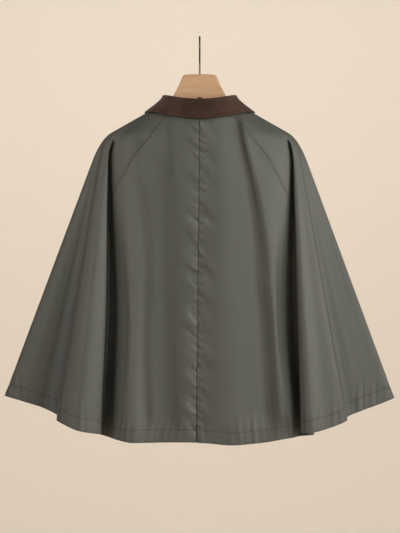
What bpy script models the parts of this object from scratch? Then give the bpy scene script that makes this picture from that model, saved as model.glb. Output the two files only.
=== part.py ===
"""Rain cape hung on a flat wooden hanger.

Metres, +Z up. The back of the cape faces -Y and its left side is -X. The origin is the
underside of the hook's crown, which rests on a rod.

Every panel is a wall round one surface. A line on that surface runs from the neck ring over
the shoulder ring to the hem, and the tables of folds give one such line a row each.
"""
from collections import namedtuple
from math import cos, pi, radians, sin

import bmesh
import bpy
import numpy as np
from mathutils import Matrix, Vector

# Cloth
CLOTH = 0.0012            # wall of a panel
HEM_CLOTH = 0.0020        # wall of the turned hem
HEM_HEIGHT = 0.028        # from the hem's edge to its stitching
SEAM_GAP = 0.0003         # between neighbours
LAP_LIFT = 0.0030         # how far the right front stands off the left one

# Neck ring, where the panels meet the collar
NECK_HALF = 0.083
NECK_BACK = 0.046
NECK_FRONT = 0.052
NECK_SIDE_Z = -0.153
NECK_BACK_DROP = 0.032
NECK_FRONT_DROP = 0.070

# Shoulder ring, where the cloth turns from the shoulder slope to the fall
SHOULDER_HALF = 0.2324
SHOULDER_Z = -0.238
SHOULDER_FRONT_DROP = 0.034
SHOULDER_DEPTH = 0.050
TURN_ABOVE = 0.17         # share of the slope that the rounded turn takes
TURN_BELOW = 0.090        # share of the fall that it takes
DIP_START = 0.925         # ring on the slope where a dip begins
DIP_REACH = 0.042         # rings in which it grows to two thirds
TUCK_REACH = 0.03         # share of the fall in which a tuck does
BOW_SKEW = 1.2            # puts the widest part of a bow below the middle

# Collar
COLLAR_CLOTH = 0.0024
ROLL_RADIUS = 0.0038
ROLL_HALF = 0.0800
ROLL_BACK = 0.0425
ROLL_FRONT = 0.0490
ROLL_SIDE_Z = -0.136
ROLL_BACK_DROP = 0.0135
ROLL_FRONT_DROP = 0.056
COLLAR_END = 176.0        # degrees from the centre back
COLLAR_POINT = 146.0      # where the fall's corner ends
COLLAR_SPREAD = 95.0      # where the fall begins to swing out to its points
COLLAR_EDGE = (0.222, 0.08, 0.608)  # rings to the fall's edge: back, more at the side, in front
COLLAR_LIFT = (0.0035, 0.0085, 0.0025)  # edge off the cloth: side, more at the back, in front
COLLAR_BEND = (0.0030, 0.0080)      # out and down, from the roll to the bend of the fall

# Hang loop
LOOP_FOOT_Z = -0.182
LOOP_TOP_Z = -0.145
LOOP_HALF = 0.020
LOOP_DEPTH = -0.0378
LOOP_CORD = 0.0030
LOOP_ARCH = 0.6           # below 1 the loop is squarer than a half circle
LOOP_PINCH = 0.35         # how much narrower it is at its top
LOOP_LEAN = 0.002

# Hanger
BOARD = 0.0120
PLATE_TOP_Z = -0.087
PLATE_TOP_HALF = 0.0405
PLATE_CROWN = ((0.0, 0.0012), (0.018, 0.0008))    # half width, rise of the top edge there
PLATE_CORNER = 0.007
# half width, height; from the plate's side down to where it meets the arm
PLATE_SIDE = ((0.0480, -0.111), (0.0604, -0.134), (0.068, -0.1455), (0.076, -0.1530))
ARM_TOP = (0.12, 0.16, 0.19)        # half widths at which the arm's upper edge has a point
ARM_START = (0.088, 0.001)          # half width, how far below the cloth's line it begins
ARM_REACH = 0.205
ARM_END = 0.012           # radius of its end
ARM_DEEP = 0.029          # height of the board at its end
BORE_DEPTH = 0.025
ARM_LOWER = ((0.150, -0.236), (0.100, -0.213), (0.050, -0.199), (0.0, -0.194))
ARM_UNDER_CLOTH = 0.0026  # from the middle of the cloth to the board's edge
BOARD_ROUNDING = 0.0030
WIRE = 0.0040
HOOK_INSIDE = 0.022
HOOK_TIP = -35.0          # degrees, 90 is the crown
HOOK_THROAT = 215.0
HOOK_SWEEP = 0.018        # how strongly the throat sweeps back into the shank
SHANK_SWEEP = 0.016
SHANK_TOP_Z = -0.066
SHANK_DEPTH = 0.022
SHANK_FOOT_GAP = 0.001

# Front closure
BUTTONS = 5
BUTTON_RADIUS = 0.0110
BUTTON_THICK = 0.0032
BUTTON_TOP_Z = -0.262
BUTTON_STEP = 0.118
BUTTON_GAP = 0.0004       # off the cloth of the lap
# radius, height; from the middle of the back round the rim to the middle of the face
BUTTON_PROFILE = (
    (0.0, 0.0), (0.0092, 0.0), (BUTTON_RADIUS, 0.0011), (BUTTON_RADIUS, 0.0024),
    (0.0098, BUTTON_THICK), (0.0082, 0.0028), (0.0068, 0.0020), (0.0, 0.0019),
)

Fold = namedtuple("Fold", "name neck sx sy hx hy hz bow dip tuck")
# neck: degrees round the neck ring from the centre back
# sx, sy: where the line crosses the shoulder ring
# hx, hy, hz: where it meets the hem
# bow: how far it bends towards +X below its middle
# dip, tuck: how far it sinks towards +Y, and slides towards +X, just under the shoulder
CENTRE_BACK = Fold("centre back", 0, -0.001, -0.050, -0.008, -0.050, -0.945, 0.0, 0.0, 0.0)
LEFT_BACK = (
    Fold("seam swell", 13, -0.025, -0.050, -0.034, -0.054, -0.944, 0.0, 0.0, 0.0),
    Fold("inner hollow", 29, -0.060, -0.0475, -0.078, -0.046, -0.945, 0.0, 0.0, 0.0),
    Fold("back crest", 46, -0.112, -0.0415, -0.125, -0.054, -0.945, 0.0, 0.0, 0.0),
    Fold("crest slope", 66, -0.168, -0.0320, -0.158, -0.064, -0.944, 0.006, 0.0, 0.0),
    Fold("trough wall", 72, -0.2035, -0.0165, -0.185, -0.045, -0.941, 0.018, 0.002, 0.0),
    Fold("trough floor", 74, -0.208, -0.0158, -0.226, 0.006, -0.935, 0.008, 0.020, -0.003),
    Fold("hidden turn", 76, -0.2105, -0.0152, -0.272, 0.000, -0.923, 0.0, 0.017, -0.008),
    Fold("ridge underside", 77.5, -0.2122, -0.0146, -0.260, -0.025, -0.922, 0.0, 0.006, -0.006),
    Fold("ridge inner edge", 79, -0.2142, -0.0140, -0.229, -0.052, -0.925, 0.004, -0.002, 0.0),
    Fold("ridge crown", 80.5, -0.217, -0.0135, -0.280, -0.086, -0.913, 0.0, 0.0, 0.0),
    Fold("ridge face", 82, -0.2205, -0.0120, -0.309, -0.073, -0.902, 0.0, 0.0, 0.0),
    Fold("ridge outer edge", 83.5, -0.224, -0.0105, -0.331, -0.050, -0.892, 0.0, 0.0, 0.0),
    Fold("wing turn", 84.5, -0.2265, -0.0090, -0.328, -0.028, -0.887, 0.0, 0.0, 0.0),
    Fold("wing hollow", 86, -0.229, -0.0070, -0.366, -0.002, -0.870, 0.0, 0.0, 0.0),
    Fold("wing", 88, -0.231, -0.0040, -0.411, -0.012, -0.854, 0.0, 0.0, 0.0),
    Fold("side", 90, -SHOULDER_HALF, 0.0, -0.459, 0.010, -0.842, 0.0, 0.0, 0.0),
)
LEFT_FRONT = (
    Fold("front wing", 92, -0.2318, 0.0040, -0.418, 0.038, -0.853, 0.0, 0.0, 0.0),
    Fold("front wing hollow", 94, -0.2295, 0.0075, -0.366, 0.026, -0.871, 0.0, 0.0, 0.0),
    Fold("front ridge outer", 96, -0.226, 0.0105, -0.326, 0.052, -0.887, 0.0, 0.0, 0.0),
    Fold("front ridge crown", 98, -0.2215, 0.0130, -0.283, 0.080, -0.902, 0.0, 0.0, 0.0),
    Fold("front ridge inner", 100, -0.216, 0.0145, -0.243, 0.064, -0.914, 0.0, 0.0, 0.0),
    Fold("front trough", 103, -0.207, 0.0160, -0.222, 0.028, -0.920, 0.0, 0.0, 0.0),
    Fold("front crest", 112, -0.168, 0.0270, -0.172, 0.066, -0.930, 0.0, 0.0, 0.0),
    Fold("front hollow", 128, -0.108, 0.0420, -0.108, 0.046, -0.936, 0.0, 0.0, 0.0),
    Fold("front swell", 149, -0.052, 0.0490, -0.056, 0.060, -0.938, 0.0, 0.0, 0.0),
    Fold("under the lap", 164, -0.024, 0.0500, -0.024, 0.060, -0.938, 0.0, 0.0, 0.0),
    Fold("left front edge", 192, 0.018, 0.0500, 0.018, 0.060, -0.938, 0.0, 0.0, 0.0),
)
RIGHT_BACK = (
    Fold("seam swell", 12, 0.0215, -0.050, 0.019, -0.056, -0.946, 0.0, 0.0, 0.0),
    Fold("centre crest", 29, 0.056, -0.0485, 0.076, -0.069, -0.949, 0.0, 0.0, 0.0),
    Fold("crest slope", 42, 0.092, -0.0460, 0.124, -0.062, -0.946, 0.0, 0.0, 0.0),
    Fold("diagonal hollow", 50, 0.122, -0.0430, 0.158, -0.056, -0.943, 0.004, 0.0, 0.0),
    Fold("narrow ridge", 66, 0.168, -0.0345, 0.186, -0.054, -0.938, -0.004, 0.0, 0.0),
    Fold("trough wall", 72, 0.207, -0.0170, 0.2135, -0.043, -0.935, -0.026, 0.002, 0.0),
    Fold("trough floor", 74, 0.213, -0.0152, 0.238, 0.004, -0.936, -0.011, 0.020, 0.003),
    Fold("hidden turn", 76, 0.2155, -0.0147, 0.267, -0.002, -0.933, -0.002, 0.018, 0.004),
    Fold("ridge underside", 77.5, 0.2172, -0.0141, 0.257, -0.028, -0.928, 0.0, 0.008, 0.002),
    Fold("ridge inner edge", 79, 0.2188, -0.0135, 0.235, -0.052, -0.923, 0.0, -0.002, 0.0),
    Fold("ridge crown", 81, 0.2208, -0.0128, 0.250, -0.079, -0.9205, 0.0, 0.0, 0.0),
    Fold("ridge face", 82.5, 0.2235, -0.0115, 0.291, -0.066, -0.912, 0.0, 0.0, 0.0),
    Fold("ridge outer edge", 84, 0.2262, -0.0095, 0.341, -0.046, -0.8935, 0.0, 0.0, 0.0),
    Fold("wing turn", 85, 0.228, -0.0080, 0.342, -0.030, -0.889, 0.0, 0.0, 0.0),
    Fold("wing hollow", 86.5, 0.230, -0.0055, 0.381, -0.014, -0.874, 0.0, 0.0, 0.0),
    Fold("wing", 88, 0.2315, -0.0030, 0.4195, -0.003, -0.8615, 0.0, 0.0, 0.0),
    Fold("side", 90, SHOULDER_HALF, 0.0, 0.458, 0.010, -0.847, 0.0, 0.0, 0.0),
)
RIGHT_FRONT = (
    Fold("front wing", 92, 0.2318, 0.0040, 0.412, 0.036, -0.860, 0.0, 0.0, 0.0),
    Fold("front wing hollow", 94, 0.2295, 0.0075, 0.372, 0.024, -0.874, 0.0, 0.0, 0.0),
    Fold("front ridge outer", 96, 0.226, 0.0105, 0.336, 0.050, -0.889, 0.0, 0.0, 0.0),
    Fold("front ridge crown", 98, 0.2215, 0.0130, 0.290, 0.082, -0.904, 0.0, 0.0, 0.0),
    Fold("front ridge inner", 100, 0.216, 0.0145, 0.249, 0.062, -0.916, 0.0, 0.0, 0.0),
    Fold("front trough", 103, 0.207, 0.0160, 0.228, 0.026, -0.922, 0.0, 0.0, 0.0),
    Fold("front crest", 112, 0.168, 0.0280, 0.168, 0.070, -0.932, 0.0, 0.0, 0.0),
    Fold("front hollow", 128, 0.108, 0.0440, 0.104, 0.050, -0.938, 0.0, 0.0, 0.0),
    Fold("front swell", 149, 0.052, 0.0515, 0.054, 0.064, -0.940, 0.0, 0.0, 0.0),
    Fold("over the lap", 165, 0.022, 0.0530, 0.022, 0.063, -0.940, 0.0, 0.0, 0.0),
    Fold("right front edge", 194, -0.022, 0.0530, -0.022, 0.063, -0.940, 0.0, 0.0, 0.0),
)

Crease = namedtuple("Crease", "name height path")
Stop = namedtuple("Stop", "x z half_width")
# Softer creases of the back: the cloth rises by twice the height from left to right of the path
CREASES = (
    Crease("diagonal", 0.0068, (
        Stop(0.091, -0.195, 0.009), Stop(0.1045, -0.264, 0.009), Stop(0.1205, -0.334, 0.011),
        Stop(0.1305, -0.416, 0.013), Stop(0.1395, -0.499, 0.016), Stop(0.1425, -0.581, 0.019),
        Stop(0.1525, -0.663, 0.020), Stop(0.158, -0.745, 0.019), Stop(0.1675, -0.900, 0.018),
    )),
    Crease("left of the back", 0.0016, (
        Stop(-0.137, -0.330, 0.008), Stop(-0.118, -0.50, 0.008), Stop(-0.1215, -0.74, 0.009),
        Stop(-0.115, -0.90, 0.010),
    )),
    Crease("beside the middle", 0.0030, (
        Stop(-0.074, -0.290, 0.012), Stop(-0.0655, -0.42, 0.014), Stop(-0.064, -0.58, 0.016),
        Stop(-0.055, -0.91, 0.014),
    )),
)
CREASE_FADE = (8, 13)     # lines between which the creases of the back fade out
CREASE_END = 0.03         # and how far above and below their paths

Seam = namedtuple("Seam", "ring line")
# ring: 0 is the neck, 1 the shoulder ring, 2 the hem
# line: which line of the folds the seam follows there, counted from the centre back
LEFT_BACK_SEAM = (
    Seam(0.45, 3.17), Seam(0.88, 3.17), Seam(0.952, 3.33), Seam(1.002, 3.54), Seam(1.05, 3.76),
    Seam(1.092, 4.0), Seam(1.14, 4.5), Seam(1.177, 5.05), Seam(1.24, 5.9), Seam(1.3, 6.0),
)
RIGHT_BACK_SEAM = (
    Seam(0.49, 3.9), Seam(0.63, 4.0), Seam(0.9, 4.06), Seam(0.995, 4.4), Seam(1.047, 4.69),
    Seam(1.092, 4.98), Seam(1.135, 5.35), Seam(1.177, 5.8), Seam(1.24, 6.7), Seam(1.3, 7.0),
)
LEFT_FRONT_SEAM = (
    Seam(0.6, 23.55), Seam(1.0, 23.30), Seam(1.10, 22.90), Seam(1.18, 22.40), Seam(1.28, 22.0),
)
RIGHT_FRONT_SEAM = (
    Seam(0.6, 24.55), Seam(1.0, 24.30), Seam(1.10, 23.90), Seam(1.18, 23.40), Seam(1.28, 23.0),
)

# Rings that a panel is sampled on: 0 is the neck, 1 the shoulder ring, 2 the hem
SLOPE_RINGS = (
    0.0, 0.40, 1 - TURN_ABOVE, DIP_START, (DIP_START + 1) / 2, 1.0, 1 + TURN_BELOW / 2,
    1 + TURN_BELOW,
)
FALL_RINGS = (1.135, 1.18, 1.25, 1.36, 1.50, 1.66, 1.82)
HEM_STEP = 0.004          # share of the fall over which the wall thickens to the hem's
COLUMNS_PER_FOLD = 3
SEAM_REACH = 0.45         # knots beside a seam over which the columns give way to it

COLOURS = {
    "cloth": (0.125, 0.120, 0.098),
    "corduroy": (0.055, 0.026, 0.020),
    "wood": (0.640, 0.400, 0.235),
    "dark metal": (0.050, 0.038, 0.030),
    "horn": (0.060, 0.035, 0.022),
}


def clear_scene():
    for item in list(bpy.data.objects):
        bpy.data.objects.remove(item, do_unlink=True)


def material(name, roughness, metallic=0.0):
    made = bpy.data.materials.get(name)
    if made is None:
        made = bpy.data.materials.new(name)
        made.use_nodes = True
        shader = made.node_tree.nodes["Principled BSDF"]
        shader.inputs["Base Color"].default_value = (*COLOURS[name], 1.0)
        shader.inputs["Roughness"].default_value = roughness
        shader.inputs["Metallic"].default_value = metallic
    return made


def add_object(name, mesh, finish):
    made = bpy.data.objects.new(name, mesh)
    bpy.context.collection.objects.link(made)
    made.data.materials.append(finish)
    return made


def ease(value):
    """Smooth step from 0 to 1."""
    value = np.clip(value, 0.0, 1.0)
    return value * value * (3 - 2 * value)


def tangents(knots, values, monotone):
    """Slope at each knot; a monotone one never overshoots its neighbours."""
    step = np.diff(knots)
    slope = np.diff(values) / step
    inner = (slope[:-1] * step[1:] + slope[1:] * step[:-1]) / (step[:-1] + step[1:])
    if monotone:
        limit = 3 * np.minimum(abs(slope[:-1]), abs(slope[1:]))
        inner = np.where(slope[:-1] * slope[1:] > 0, np.clip(inner, -limit, limit), 0.0)
    return np.concatenate(([slope[0]], inner, [slope[-1]]))


def through(knots, values, at, monotone=False):
    """Smooth curve through the values, read at other knots."""
    grade = tangents(knots, values, monotone)
    left = np.clip(np.searchsorted(knots, at, side="right") - 1, 0, len(knots) - 2)
    step = knots[left + 1] - knots[left]
    part = (at - knots[left]) / step
    square, cube = part ** 2, part ** 3
    return ((2 * cube - 3 * square + 1) * values[left]
            + (cube - 2 * square + part) * step * grade[left]
            + (3 * square - 2 * cube) * values[left + 1]
            + (cube - square) * step * grade[left + 1])


def neck_ring(degrees, side, half=NECK_HALF, back=NECK_BACK, front=NECK_FRONT,
              side_z=NECK_SIDE_Z, back_drop=NECK_BACK_DROP, front_drop=NECK_FRONT_DROP):
    """Points round the neck, from the centre back; side is -1 for the left half."""
    turn = np.radians(degrees)
    behind = np.cos(turn) > 0
    depth = np.where(behind, back, front)
    drop = np.where(behind, back_drop, front_drop)
    lift = LAP_LIFT * ease((np.asarray(degrees) - 140) / 24) * (side > 0)
    return np.stack([side * half * np.sin(turn),
                     -depth * np.cos(turn) + lift,
                     side_z - drop * np.cos(turn) ** 2], axis=-1)


def crease_lift(points):
    """How far the softer creases lift the cloth of the back off its main folds."""
    x, z = points[..., 0], points[..., 2]
    lift = np.zeros_like(x)
    for crease in CREASES:
        across, height, width = np.array(crease.path).T
        middle = through(-height, across, np.clip(-z, -height[0], -height[-1]))
        share = (x - middle) / np.interp(-z, -height, width)
        fade = (ease((height[0] + CREASE_END - z) / (2 * CREASE_END))
                * ease((z - height[-1] + CREASE_END) / (2 * CREASE_END)))
        lift += crease.height * 2 * share / (1 + share ** 2) * fade
    return lift


class Half:
    """One half of the cape's surface, from the centre back round to the front edge."""

    def __init__(self, side, rows, back_seam, front_seam):
        self.side = side
        self.rows = (CENTRE_BACK,) + rows
        self.seams = {"back": back_seam, "front": front_seam}
        hem = np.array([(r.hx, r.hy, r.hz) for r in self.rows])
        spacing = np.linalg.norm(np.diff(hem, axis=0), axis=1) ** 0.75
        self.knots = np.concatenate(([0.0], np.cumsum(spacing)))
        self.hem_rows = hem

    def column(self, field, at, monotone):
        values = np.array([getattr(row, field) for row in self.rows], dtype=float)
        return through(self.knots, values, at, monotone)

    def line_to_knot(self, line):
        return np.interp(line, np.arange(len(self.rows)), self.knots)

    def degrees_to_knot(self, degrees):
        return np.interp(degrees, [row.neck for row in self.rows], self.knots)

    def seam(self, name, ring):
        """Knot that a seam follows at a ring."""
        table = self.seams[name]
        rings = np.array([s.ring for s in table])
        knots = self.line_to_knot([s.line for s in table])
        return through(rings, knots, np.clip(ring, rings[0], rings[-1]), monotone=True)

    def point(self, knot, ring):
        """Middle of the cloth at a knot round the cape and a ring down it."""
        knot, ring = np.broadcast_arrays(np.asarray(knot, float), np.asarray(ring, float))
        top = neck_ring(self.column("neck", knot, True), self.side)
        across = self.column("sx", knot, True)
        depth = self.column("sy", knot, True)
        drop = SHOULDER_FRONT_DROP * ease(depth / SHOULDER_DEPTH)
        turn = np.stack([across, depth, SHOULDER_Z - drop], axis=-1)
        hem = np.stack([self.column(f, knot, False) for f in ("hx", "hy", "hz")], axis=-1)
        bow = self.column("bow", knot, True)

        above = top + (turn - top) * np.clip(ring, 0, 1 - TURN_ABOVE)[..., None]
        fall = np.clip(ring - 1, TURN_BELOW, 1)
        below = turn + (hem - turn) * fall[..., None]
        corner = np.clip((ring - 1 + TURN_ABOVE) / (TURN_ABOVE + TURN_BELOW), 0, 1)[..., None]
        rounded = (above * (1 - corner) ** 2 + turn * 2 * corner * (1 - corner)
                   + below * corner ** 2)
        down = np.clip(ring - 1, 0, 1)
        rounded[..., 0] += bow * np.sin(pi * down ** BOW_SKEW) ** 2
        tucked = (1 - np.exp(-down / TUCK_REACH)) * (1 - down)
        dipped = (1 - np.exp(-np.clip(ring - DIP_START, 0, 1) / DIP_REACH)) * (1 - down)
        rounded[..., 0] += self.column("tuck", knot, True) * tucked
        rounded[..., 1] += self.column("dip", knot, True) * dipped
        first, last = self.knots[CREASE_FADE[0]], self.knots[CREASE_FADE[1]]
        rounded[..., 1] -= crease_lift(rounded) * ease((last - knot) / (last - first))
        return rounded

    def normal(self, knot, ring):
        small = 1e-4
        low_knot = np.clip(knot - small, 0, self.knots[-1])
        high_knot = np.clip(knot + small, 0, self.knots[-1])
        low_ring = np.clip(ring - small, 0, 2)
        high_ring = np.clip(ring + small, 0, 2)
        across = self.point(high_knot, ring) - self.point(low_knot, ring)
        down = self.point(knot, high_ring) - self.point(knot, low_ring)
        out = np.cross(across, down) * -self.side
        return out / np.linalg.norm(out, axis=-1, keepdims=True)


def grid_solid(name, outer, inner):
    """Closed wall between two grids of points, outer and inner, rows by columns."""
    rows, columns = outer.shape[:2]
    mesh = bpy.data.meshes.new(name)
    shell = bmesh.new()
    front = [[shell.verts.new(p) for p in row] for row in outer]
    behind = [[shell.verts.new(p) for p in row] for row in inner]
    for i in range(rows - 1):
        for j in range(columns - 1):
            shell.faces.new((front[i][j], front[i + 1][j], front[i + 1][j + 1], front[i][j + 1]))
            shell.faces.new((behind[i][j], behind[i][j + 1], behind[i + 1][j + 1],
                             behind[i + 1][j]))
    rim = ([(0, j) for j in range(columns)] + [(i, columns - 1) for i in range(1, rows)]
           + [(rows - 1, j) for j in range(columns - 2, -1, -1)]
           + [(i, 0) for i in range(rows - 2, 0, -1)])
    for (i, j), (m, n) in zip(rim, rim[1:] + rim[:1]):
        here, there, there_in, here_in = front[i][j], front[m][n], behind[m][n], behind[i][j]
        if m < i:         # one diagonal up and down, so the two sides of a seam match
            shell.faces.new((here, there, here_in))
            shell.faces.new((there, there_in, here_in))
        else:
            shell.faces.new((here, there, there_in))
            shell.faces.new((here, there_in, here_in))
    bmesh.ops.recalc_face_normals(shell, faces=shell.faces)
    shell.to_mesh(mesh)
    shell.free()
    mesh.shade_smooth()
    mesh.set_sharp_from_angle(angle=radians(60))
    return mesh


def panel_columns(half, start, end):
    """Knots of a panel's columns at the hem, with one on every fold."""
    inside = [k for k in half.knots if start + 1e-6 < k < end - 1e-6]
    stops = [start, *inside, end]
    columns = []
    for low, high in zip(stops, stops[1:]):
        columns.extend(np.linspace(low, high, COLUMNS_PER_FOLD, endpoint=False))
    return np.array(columns + [end])


def panel(half, name, low_seam, high_seam):
    """One panel of the cape between two seams; None is the centre back or the front edge."""
    def edges(ring):
        low = half.seam(low_seam, ring) if low_seam else 0.0
        high = half.seam(high_seam, ring) if high_seam else half.knots[-1]
        return low, high

    hem_low, hem_high = edges(2.0)
    columns = panel_columns(half, hem_low, hem_high)
    by_low = np.clip(1 - (columns - hem_low) / SEAM_REACH, 0, 1)
    by_high = np.clip(1 - (hem_high - columns) / SEAM_REACH, 0, 1)
    fall = np.linalg.norm(half.point(hem_high, 2.0) - half.point(hem_high, 1.0))
    hem_top = 2 - HEM_HEIGHT / fall
    rings = np.array(SLOPE_RINGS + FALL_RINGS + (hem_top - HEM_STEP, hem_top, 2.0))
    outer, inner = [], []
    for ring in rings:
        low, high = edges(ring)
        knots = columns + (low - hem_low) * by_low + (high - hem_high) * by_high
        middle = half.point(knots, ring)
        out = half.normal(knots, ring)
        for edge, towards in ((0, 1), (-1, -2)) if high_seam else ((0, 1),):
            inward = middle[towards] - middle[edge]
            middle[edge] += inward / np.linalg.norm(inward) * SEAM_GAP / 2
        behind = HEM_CLOTH - CLOTH / 2 if ring >= hem_top else CLOTH / 2
        outer.append(middle + out * CLOTH / 2)
        inner.append(middle - out * behind)
    return add_object(name, grid_solid(name, np.array(outer), np.array(inner)),
                      material("cloth", 0.62))


def collar_section(half, degrees):
    """Middle of the collar's cloth at one place round the neck, from its seam to its edge."""
    side = half.side
    seam = neck_ring(degrees, side)
    roll = neck_ring(degrees, side, ROLL_HALF, ROLL_BACK, ROLL_FRONT, ROLL_SIDE_Z,
                     ROLL_BACK_DROP, ROLL_FRONT_DROP)
    turn = radians(degrees)
    depth = NECK_BACK if degrees < 90 else NECK_FRONT
    out = np.array([side * sin(turn) * depth, -cos(turn) * NECK_HALF, 0.0])
    out /= np.linalg.norm(out)

    to_front = ease((degrees - COLLAR_SPREAD) / (COLLAR_END - COLLAR_SPREAD))
    edge_degrees = degrees - (COLLAR_END - COLLAR_POINT) * to_front
    to_back = max(cos(turn), 0.0) ** 2
    edge_ring = np.dot(COLLAR_EDGE, (1, 1 - to_back ** 2, to_front))
    lift = np.dot(COLLAR_LIFT, (1, to_back, to_front))
    knot = half.degrees_to_knot(edge_degrees)
    edge = half.point(knot, edge_ring) + half.normal(knot, edge_ring) * lift

    up = np.array([0.0, 0.0, 1.0])
    bottom = seam + up * (SEAM_GAP + CLOTH / 2)
    stand_top = roll - up * ROLL_RADIUS
    points = [bottom, bottom * 0.5 + stand_top * 0.5]
    centre = stand_top + out * ROLL_RADIUS
    for step in range(5):
        angle = pi * (1 - step / 4)
        points.append(centre + (out * cos(angle) + up * sin(angle)) * ROLL_RADIUS)
    fall_top = points[-1]
    bend = fall_top + out * COLLAR_BEND[0] - up * COLLAR_BEND[1]
    for part in (0.25, 0.5, 0.75, 1.0):
        points.append(fall_top * (1 - part) ** 2 + bend * 2 * part * (1 - part)
                      + edge * part ** 2)
    return np.array(points)


def collar(half, name):
    """Stand, roll and fall of half the collar in one wall, from the centre back to its front end."""
    stops = list(np.linspace(0, 60, 7)) + list(np.linspace(72, COLLAR_END, 14))
    middle = np.array([collar_section(half, a) for a in stops])
    out = np.cross(np.gradient(middle, axis=0), np.gradient(middle, axis=1)) * half.side
    out[0, :, 0] = 0.0
    out /= np.linalg.norm(out, axis=-1, keepdims=True)
    middle[0, :, 0] += half.side * SEAM_GAP / 2
    mesh = grid_solid(name, middle + out * COLLAR_CLOTH / 2, middle - out * COLLAR_CLOTH / 2)
    add_object(name, mesh, material("corduroy", 0.85))


def hang_loop():
    """Narrow loop inside the back of the neck that stands a little above the collar."""
    line = bpy.data.curves.new("hang_loop", "CURVE")
    line.dimensions = "3D"
    line.bevel_depth = LOOP_CORD / 2
    line.bevel_resolution = 2
    line.use_fill_caps = True
    path = line.splines.new("POLY")
    steps = 16
    path.points.add(steps)
    for i in range(steps + 1):
        angle = pi * i / steps
        height = LOOP_FOOT_Z + (LOOP_TOP_Z - LOOP_FOOT_Z) * sin(angle) ** LOOP_ARCH
        across = LOOP_HALF * cos(angle) * (1 - LOOP_PINCH * sin(angle))
        path.points[i].co = (across, LOOP_DEPTH + LOOP_LEAN * sin(angle), height, 1.0)
    add_object("hang_loop", line, material("corduroy", 0.85))


def arm_top(x):
    """Height of the board's upper edge under the shoulder line."""
    slope = (NECK_SIDE_Z - SHOULDER_Z) / (SHOULDER_HALF - NECK_HALF)
    return NECK_SIDE_Z - (x - NECK_HALF) * slope - ARM_UNDER_CLOTH


def arc(centre, radius, first, last, steps):
    """Points of an arc in the board's plane, angles in degrees."""
    angles = np.radians(np.linspace(first, last, steps + 1))
    return [(centre[0] + radius * cos(a), centre[1] + radius * sin(a)) for a in angles]


def board_outline():
    """Right half of the board's outline, from the middle of its top to the middle below."""
    points = [(x, PLATE_TOP_Z + rise) for x, rise in PLATE_CROWN]
    points += arc((PLATE_TOP_HALF - PLATE_CORNER, PLATE_TOP_Z - PLATE_CORNER), PLATE_CORNER,
                  90, 12, 3)
    start, below = ARM_START
    points += [*PLATE_SIDE, (start, arm_top(start) - below)]
    points += [(x, arm_top(x)) for x in ARM_TOP]
    end_x = ARM_REACH - ARM_END
    points += arc((end_x, arm_top(end_x) - ARM_DEEP / 2), ARM_END, 40, -120, 5)
    return points + list(ARM_LOWER)


def hanger_board():
    """Flat board with a raised neck plate and a bore for the hook's shank."""
    half = board_outline()
    outline = half + [(-x, z) for x, z in reversed(half[1:-1])]
    shell = bmesh.new()
    face = shell.faces.new([shell.verts.new((x, -BOARD / 2, z)) for x, z in outline])
    moved = bmesh.ops.extrude_face_region(shell, geom=[face])
    far = [v for v in moved["geom"] if isinstance(v, bmesh.types.BMVert)]
    bmesh.ops.translate(shell, verts=far, vec=(0, BOARD, 0))
    bmesh.ops.recalc_face_normals(shell, faces=shell.faces)
    mesh = bpy.data.meshes.new("hanger_board")
    shell.to_mesh(mesh)
    shell.free()
    board = add_object("hanger_board", mesh, material("wood", 0.5))
    rounding = board.modifiers.new("rounding", "BEVEL")
    rounding.width = BOARD_ROUNDING
    rounding.segments = 2
    rounding.limit_method = "ANGLE"
    rounding.angle_limit = radians(50)

    bpy.ops.mesh.primitive_cylinder_add(
        vertices=16, radius=WIRE / 2 + SEAM_GAP, depth=2 * BORE_DEPTH,
        location=(0, 0, PLATE_TOP_Z + BORE_DEPTH - SHANK_DEPTH))
    bore = bpy.context.object
    bore.name = "shank_bore"
    bore.hide_render = True
    bore.display_type = "WIRE"
    cut = board.modifiers.new("bore", "BOOLEAN")
    cut.operation = "DIFFERENCE"
    cut.solver = "EXACT"
    cut.object = bore


def hanger_hook():
    """Round wire: shank, throat, crown over the rod and a tip behind it."""
    radius = HOOK_INSIDE + WIRE / 2
    centre = -HOOK_INSIDE
    path = [(radius * cos(radians(a)), centre + radius * sin(radians(a)))
            for a in np.linspace(HOOK_TIP, HOOK_THROAT, 22)]
    start = np.array(path[-1])
    heading = np.array([-sin(radians(HOOK_THROAT)), cos(radians(HOOK_THROAT))])
    foot = np.array([0.0, SHANK_TOP_Z])
    first, second = start + heading * HOOK_SWEEP, foot + np.array([0.0, SHANK_SWEEP])
    for part in np.linspace(0, 1, 8)[1:]:
        path.append(tuple(start * (1 - part) ** 3 + first * 3 * part * (1 - part) ** 2
                          + second * 3 * part ** 2 * (1 - part) + foot * part ** 3))
    path.append((0.0, PLATE_TOP_Z - SHANK_DEPTH + SHANK_FOOT_GAP))
    wire = bpy.data.curves.new("hanger_hook", "CURVE")
    wire.dimensions = "3D"
    wire.bevel_depth = WIRE / 2
    wire.bevel_resolution = 2
    wire.use_fill_caps = True
    spline = wire.splines.new("POLY")
    spline.points.add(len(path) - 1)
    for point, (y, z) in zip(spline.points, path):
        point.co = (0.0, y, z, 1.0)
    add_object("hanger_hook", wire, material("dark metal", 0.4, 1.0))


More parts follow.
